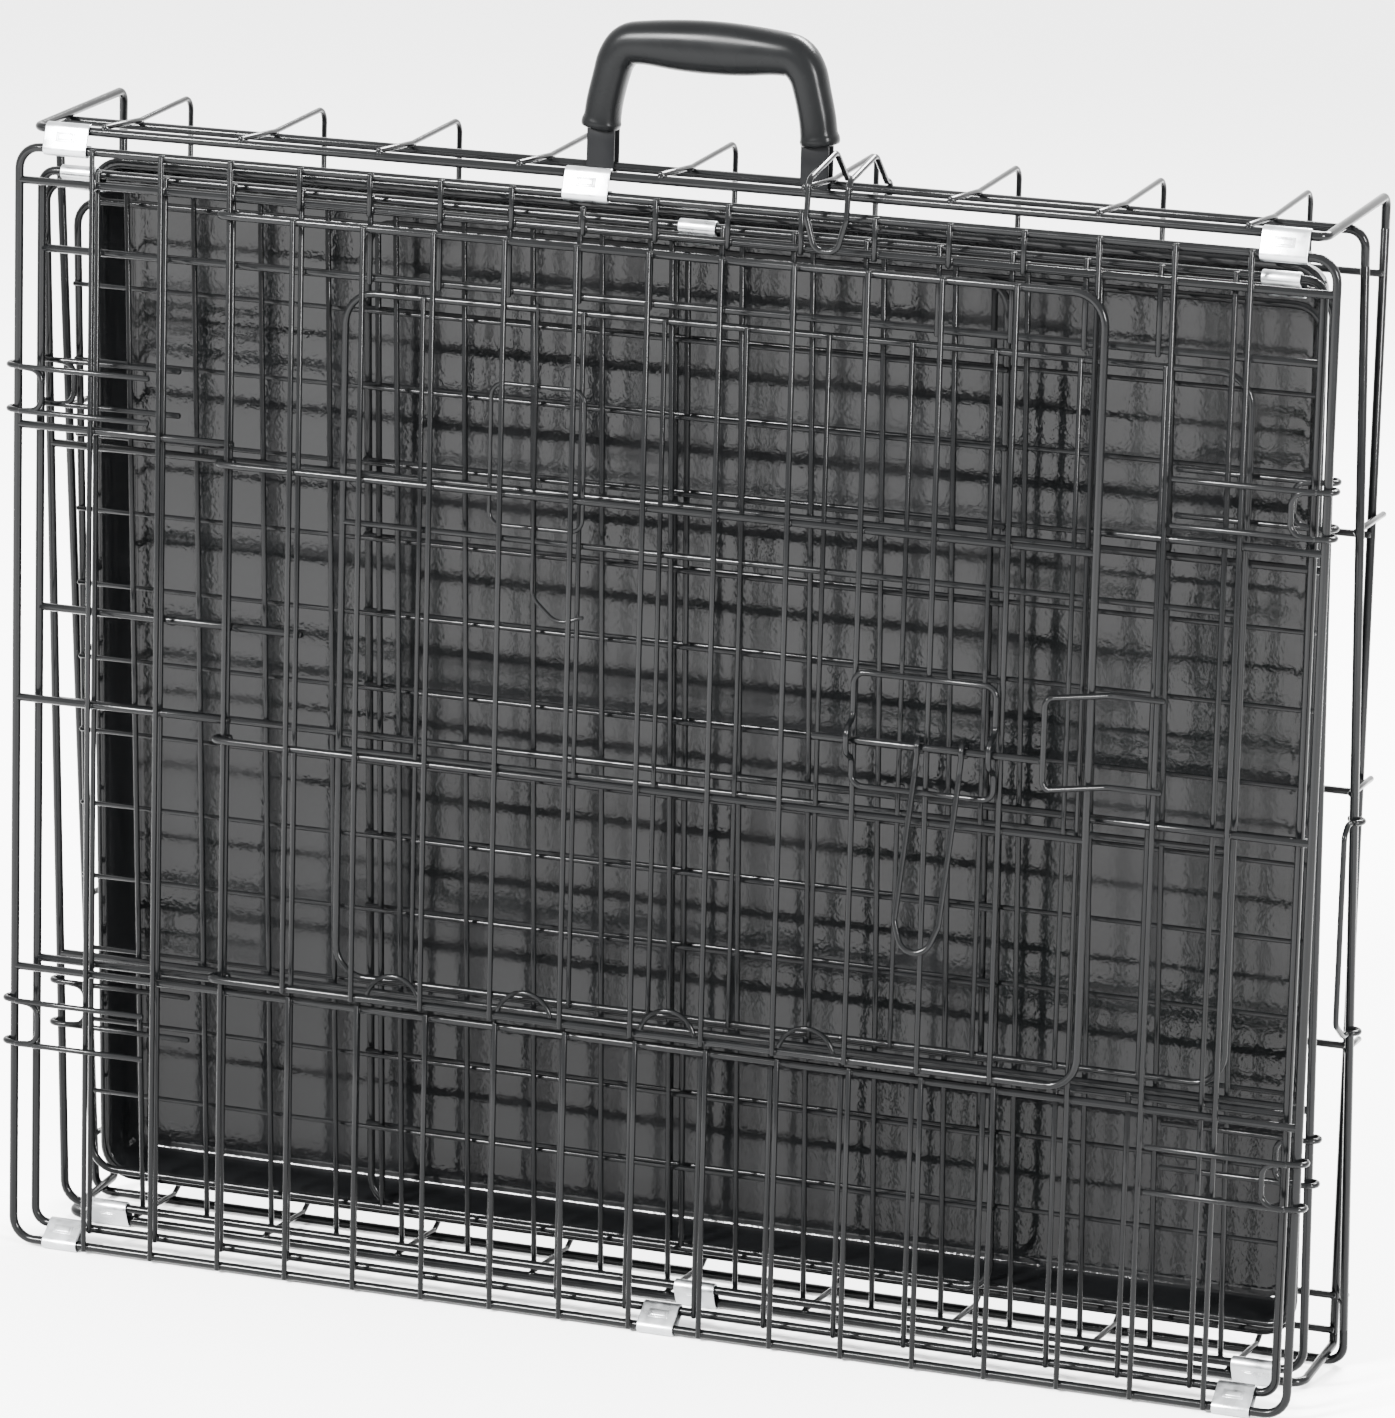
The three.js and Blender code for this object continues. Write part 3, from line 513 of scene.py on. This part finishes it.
def door_latch():
    """The bolt, the paddle that hangs from it, and the keeper on the panel."""
    b = BOLT
    bolt = Wires()
    bolt.tube([(b["left"] + 0.8, b["y"], b["z"]), (b["right"] - 0.8, b["y"], b["z"])], 1.6, 16)
    bolt.make("door_bolt")

    ring = 1.6 + 0.7 + 1.3
    curl = []
    for i in range(15):
        a = math.pi * 1.2 - i / 14 * math.pi * 1.45
        curl.append((ring * math.cos(a), ring * math.sin(a)))
    x0, x1 = 132, 152
    foot, foot_y = b["z"] - 86, b["y"] - 17

    def side(x):
        return [Vector((x, b["y"] + y, b["z"] + z)) for y, z in reversed(curl)]

    middle = [(x0, b["y"] - 5.5, b["z"] - 12), (x0 - 4, foot_y + 3, foot + 12),
              (x0 + 0.5, foot_y, foot), (x1 - 8.5, foot_y, foot),
              (x1 - 4, foot_y + 3, foot + 12), (x1, b["y"] - 5.5, b["z"] - 12)]
    path = [*side(x0), *middle, *reversed(side(x1))]
    bends = bend_corners([path[14], *middle, path[-15]], 7.5, 9)
    w = Wires()
    w.tube([*side(x0)[:-1], *bends, *list(reversed(side(x1)))[1:]], 1.3)
    w.make("door_paddle")

    y, out, x0, x1 = -5.65, -22, 189.5, 213
    keep = Wires()
    keep.bent([(237, y, 312 + BASE), (x1, y, 312 + BASE), (x0 + 1.5, out, 312 + BASE),
               (x0, out, 309 + BASE), (x0, out, 275 + BASE), (x0 + 1.5, out, 272 + BASE),
               (x1, y, 272 + BASE), (237, y, 272 + BASE)], 1.3, 5, 8)
    keep.make("bolt_keeper")


def top_door_parts():
    """The small door, its guide loop and its bent bolt."""
    d = TOP_DOOR
    w = Wires()
    w.loop(d["left"], d["right"], d["bottom"], d["top"], d["y"], 1.6, 14)
    rails = [246 + BASE, 349 + BASE]
    for z in rails:
        w.rail(d["left"], d["right"], d["y"], z, 1.4)
    xs = [d["left"] + (d["right"] - d["left"]) * i / 11 for i in range(1, 11)]
    for x in xs:
        w.post(x, d["y"] - 2.25, d["bottom"] - WIRE_END + 0.6, d["top"] + WIRE_END - 0.6, 1.1)
    w.welds(xs, [d["bottom"], *rails, d["top"]], d["y"] - 1.2, (1.6, 0.9, 1.6))
    w.make("top_door")
    x = TOP_BOLT_X
    guide = Wires()
    guide.loop(x - 22, x + 22, 356 + BASE, 419 + BASE, 6.35, 0.95, 6)
    guide.make("top_door_guide")
    bolt = Wires()
    bolt.bent([(x, 3.95, 456 + BASE - 0.5), (x, 3.95, 326 + BASE), (x + 12, 3.95, 315 + BASE),
               (x + 24, 3.95, 319 + BASE)], 0.85, 9, 8)
    bolt.make("top_door_bolt")


# ---- catches, hooks, clips ---------------------------------------------------------
def corner_hook(node, side, z, pin_x, pin_y, face, reach_x):
    """Two wires curled round the frame, joined by a D-shaped bend."""
    r = 1.3
    ring = FRAME_R + 0.8 + r
    w = Wires()
    for level in (z - 10, z + 10):
        points = [Vector((side * reach_x, face, level)), Vector((side * (pin_x - 5), face, level))]
        for i in range(13):
            a = -math.pi / 2 + i / 12 * math.pi * 0.9
            points.append(Vector((side * (pin_x + ring * math.cos(a)),
                                  pin_y + ring * math.sin(a), level)))
        w.tube(points, r)
    w.bent([(side * (pin_x - 3.5), face, z - 10), (side * (pin_x - 14), face, z - 9),
            (side * (pin_x - 14), face, z + 9), (side * (pin_x - 3.5), face, z + 10)], r, 8)
    w.make(node)


def clip(node, a, b, x, width, hook=False):
    """A strip of sheet wrapped round two rods, with its end tab pushed through a slot."""
    inner, outer = FRAME_R + 0.35, FRAME_R + 1.15
    angle = math.atan2(b[1] - a[1], b[0] - a[0])
    span = math.hypot(b[0] - a[0], b[1] - a[1])

    def arc(cx, radius, a0, a1, steps=12):
        return [(cx + radius * math.cos(a0 + (a1 - a0) * k / steps),
                 radius * math.sin(a0 + (a1 - a0) * k / steps)) for k in range(steps + 1)]

    half = math.pi / 2

    def profile(radius):
        if hook:
            return [(3, -radius), *arc(0, radius, -half, -3 * half), *arc(span, radius, half, 0.16)]
        return arc(0, radius, half, 3 * half) + arc(span, radius, -half, half)

    def lift(p, across):
        y = a[0] + p[0] * math.cos(angle) - p[1] * math.sin(angle)
        z = a[1] + p[0] * math.sin(angle) + p[1] * math.cos(angle)
        return Vector((x + across, y, z))

    w = Wires()
    edge = width / 2
    rings = []
    for p, q in zip(profile(outer), profile(inner)):
        worn = [p[i] * 0.7 + q[i] * 0.3 for i in (0, 1)]
        rings.append([lift(p, -edge + 0.25), lift(p, edge - 0.25), lift(worn, edge),
                      lift(q, edge), lift(q, -edge), lift(worn, -edge)])
    w.ring_strip(rings, closed=not hook)
    # the pressed tab stands a little proud of the strip on the side that faces out
    faces = -1 if a[1] > 100 and not hook else 1
    for window, rise in (((-4.6, 4.6, -2.2, 2.2), 0.16), ((-3.4, 3.4, -1.2, 1.5), 0.42)):
        w.plate(lift, span * 0.55, faces * outer, window, faces * rise)
    w.make(node, bevel=0.12)


def carry_handle():
    """A moulded grip: oval sections along an arch, thicker in the middle of the hand hold."""
    # along the crate, height above the rear rod, and the half width and half depth there
    stations = [(-50.8, 16.4, 6.6, 6.6), (-50.7, 17.2, 8.2, 7.9), (-50.5, 19.2, 8.6, 8.3),
                (-50.0, 22.0, 8.0, 8.0), (-49.0, 29, 7.9, 8.0), (-46.4, 40, 7.9, 8.2),
                (-43.8, 48, 8.4, 8.5), (-38.6, 53.8, 9.2, 8.7), (-30, 55.2, 9.7, 9.0),
                (-15, 55.2, 11.1, 9.0), (0, 55.2, 11.6, 9.0)]
    stations += [(-u, v, a, b) for u, v, a, b in reversed(stations[:-1])]
    dense = []
    for i in range(len(stations) - 1):
        p0, p1 = stations[max(i - 1, 0)], stations[i]
        p2, p3 = stations[i + 1], stations[min(i + 2, len(stations) - 1)]
        for k in range(5):
            t = k / 5
            dense.append([0.5 * (2 * q1 + (q2 - q0) * t + (2 * q0 - 5 * q1 + 4 * q2 - q3) * t * t
                                 + (3 * q1 - q0 - 3 * q2 + q3) * t ** 3)
                          for q0, q1, q2, q3 in zip(p0, p1, p2, p3)])
    dense.append(list(stations[-1]))
    count = len(dense)
    rings = []
    for i, (u, v, half, deep) in enumerate(dense):
        before, after = dense[max(i - 1, 0)], dense[min(i + 1, count - 1)]
        along = Vector((after[0] - before[0], 0, after[1] - before[1])).normalized()
        across = Vector((along.z, 0, -along.x))
        ring = []
        for k in range(28):
            a = 2 * math.pi * k / 28
            c, s = math.cos(a), math.sin(a)
            c = math.copysign(abs(c) ** 0.86, c)
            s = math.copysign(abs(s) ** 0.86, s)
            centre = Vector((HANDLE_X + u, RING["y"], RING["z"] + v))
            ring.append(centre + across * half * c + Vector((0, deep * s, 0)))
        rings.append(ring)
    w = Wires()
    w.ring_strip(rings)
    w.make("carry_handle")


def strap(node, side):
    """The bent steel strap that holds one foot of the grip to the ring rod."""
    x = HANDLE_X + side * 49.5
    levels = (17.0, 12, 6)

    def profile(radius):
        turns = [-math.pi * k / 14 for k in range(15)]
        bend = [(radius * math.cos(a), radius * math.sin(a)) for a in turns]
        return [(radius, z) for z in levels] + bend + [(-radius, z) for z in reversed(levels)]

    w = Wires()
    rings = []
    for i, (p, q) in enumerate(zip(profile(FRAME_R + 1.5), profile(FRAME_R + 0.4))):
        edge = 6.1 if 3 < i < 17 else 6.4
        ring = []
        for (dy, dz), across in ((p, -edge), (p, edge), (q, edge), (q, -edge)):
            ring.append(Vector((x + across, RING["y"] + dy, RING["z"] + dz)))
        rings.append(ring)
    w.ring_strip(rings)
    w.make(node, look=STRAP, bevel=0.25)


def carry_catch():
    """The wire that swings over the lip: two curls, two peaks and a U."""
    r = 1.3
    ring = FRAME_R + 0.5 + r
    x0, x1 = 72, 90

    def curl(x):
        points = []
        for i in range(17):
            a = -math.pi * 0.75 + i / 16 * math.pi * 1.35
            points.append(Vector((x, RING["y"] + ring * math.cos(a),
                                  RING["z"] + ring * math.sin(a))))
        return points

    def leg(x, inward):
        return [Vector(p) for p in ((x, 24, RING["z"] + 17), (x, -9.5, LIP["z"] + 8),
                                    (x, -11.5, LIP["z"] - 8), (x + inward, -11.5, LIP["z"] - 22))]

    left, right = curl(x0), curl(x1)
    run = bend_corners([left[-1], *leg(x0, 4), *reversed(leg(x1, -4)), right[-1]], 5, 9)
    w = Wires()
    w.tube([*left[:-1], *run, *reversed(right[:-1])], r)
    w.make("carry_catch")


def pan_latch():
    """The long wire loop that hangs on an end rod."""
    r = 1.3
    ring = FRAME_R + 0.8 + r
    x = RING["half"]

    def curl(z):
        share = (z - RING["low_z"]) / (RING["z"] - RING["low_z"])
        y = RING["low_y"] + (RING["y"] - RING["low_y"]) * share
        points = []
        for i in range(16):
            a = math.pi * (0.75 - i * 0.25 * 5 / 15)
            points.append(Vector((x + ring * math.cos(a), y + ring * math.sin(a), z)))
        return points, y

    high, y_high = curl(252 + BASE)
    low, y_low = curl(156 + BASE)
    reach = y_high - 14
    run = bend_corners([high[-1], (x, y_high - 9, 252 + BASE), (x, reach, 248 + BASE),
                        (x, reach, 164 + BASE), (x, y_low - 12, 157 + BASE),
                        (x, y_low - 9, 156 + BASE), low[-1]], 4, 6)
    w = Wires()
    w.tube([*high[:-1], *run, *reversed(low[:-1])], r)
    w.make("pan_latch")


front_panel()
top_panel()
rear_panel()
end_panel("end_panel_left", 1, 51.5, 28)
end_panel("end_panel_right", -1, 57.5, 34.5)
floor_parts()
pan()
side_door()
door_latch()
top_door_parts()
for side, name in ((-1, "left"), (1, "right")):
    for level, z in HOOK_LEVELS:
        corner_hook("hook_front_%s_%s" % (level, name), side, z, FRONT["half"], 0, -5.6, 237)
        share = (z - REAR["bottom"]) / (REAR["top"] - REAR["bottom"])
        y = REAR["low_y"] + (REAR["top_y"] - REAR["low_y"]) * share
        corner_hook("hook_rear_%s_%s" % (level, name), side, z, REAR["half"], y, y - 3.9, 232)
PLACES = ("left", "middle", "right")
A_TOP, A_LOW = (0, FRONT["top"]), (0, FRONT["bottom"])
T_LOW, T_TOP = (TOP["y"], TOP["bottom"]), (TOP["y"], TOP["top"])
B_LOW, B_TOP = (REAR["low_y"], REAR["bottom"]), (REAR["top_y"], REAR["top"])
F_TOP, F_LOW = (LIP["y"], LIP["z"]), (LIP["low_y"], LIP["low_z"])
for row, a, b, xs, width in (("clip_lip_front", A_TOP, F_TOP, (-280, -33, 280), 21),
                             ("clip_lip_rear", F_LOW, B_LOW, (-275, 14.5, 275), 19),
                             ("clip_front_top", A_LOW, T_LOW, (-279, 12.5, 278.5), 17),
                             ("clip_top_rear", T_TOP, B_TOP, (-277, 16, 277), 17)):
    for place, x in zip(PLACES, xs):
        clip("%s_%s" % (row, place), a, b, x, width, hook=row == "clip_lip_front")
carry_handle()
strap("handle_strap_left", -1)
strap("handle_strap_right", 1)
carry_catch()
pan_latch()


# ---- studio ------------------------------------------------------------------------
def studio():
    """A pale floor, an even white sky and three soft lamps."""
    floor = bpy.data.meshes.new("floor")
    s = 12
    floor.from_pydata([(-s, -s, 0), (s, -s, 0), (s, s, 0), (-s, s, 0)], [], [(0, 1, 2, 3)])
    ground = bpy.data.objects.new("floor", floor)
    pale = bpy.data.materials.new("pale_floor")
    pale.use_nodes = True
    shader = pale.node_tree.nodes["Principled BSDF"]
    shader.inputs["Base Color"].default_value = (0.86, 0.86, 0.86, 1)
    shader.inputs["Roughness"].default_value = 0.7
    floor.materials.append(pale)
    bpy.context.collection.objects.link(ground)
    world = bpy.context.scene.world or bpy.data.worlds.new("world")
    bpy.context.scene.world = world
    world.use_nodes = True
    sky = world.node_tree.nodes["Background"]
    sky.inputs["Color"].default_value = (1, 1, 1, 1)
    sky.inputs["Strength"].default_value = 4.4

    def lamp(name, place, aim, size, power):
        data = bpy.data.lights.new(name, "AREA")
        data.shape = "RECTANGLE"
        data.size, data.size_y = size
        data.energy = power
        obj = bpy.data.objects.new(name, data)
        obj.location = place
        obj.rotation_euler = (Vector(aim) - Vector(place)).to_track_quat("-Z", "Y").to_euler()
        bpy.context.collection.objects.link(obj)

    middle = (0, 0, 0.27)
    lamp("key", (-1.4, -2.6, 1.9), middle, (0.6, 0.5), 900)
    lamp("fill", (2.6, -1.5, 1.2), middle, (0.35, 0.9), 420)
    lamp("rim", (0.4, 1.8, 2.0), middle, (1.4, 0.4), 360)


def camera():
    """The camera, with a little roll."""
    azimuth, elevation, roll, distance, focal, aim_x, aim_z = CAMERA
    a, e, t = (math.radians(v) for v in (azimuth, elevation, roll))
    back = Vector((math.sin(a) * math.cos(e), -math.cos(a) * math.cos(e), math.sin(e)))
    level = (-back).cross(Vector((0, 0, 1))).normalized()
    up = level.cross(-back)
    right = level * math.cos(t) + up * math.sin(t)
    head = up * math.cos(t) - level * math.sin(t)
    data = bpy.data.cameras.new("camera")
    data.sensor_width = 36
    data.lens = 36 * focal
    cam = bpy.data.objects.new("camera", data)
    turn = Matrix((right, head, back)).transposed().to_4x4()
    place = Vector((aim_x, 0, aim_z)) + back * distance
    cam.matrix_world = Matrix.Translation(place) @ turn
    data.clip_end = 60
    bpy.context.collection.objects.link(cam)
    bpy.context.scene.camera = cam


studio()
camera()
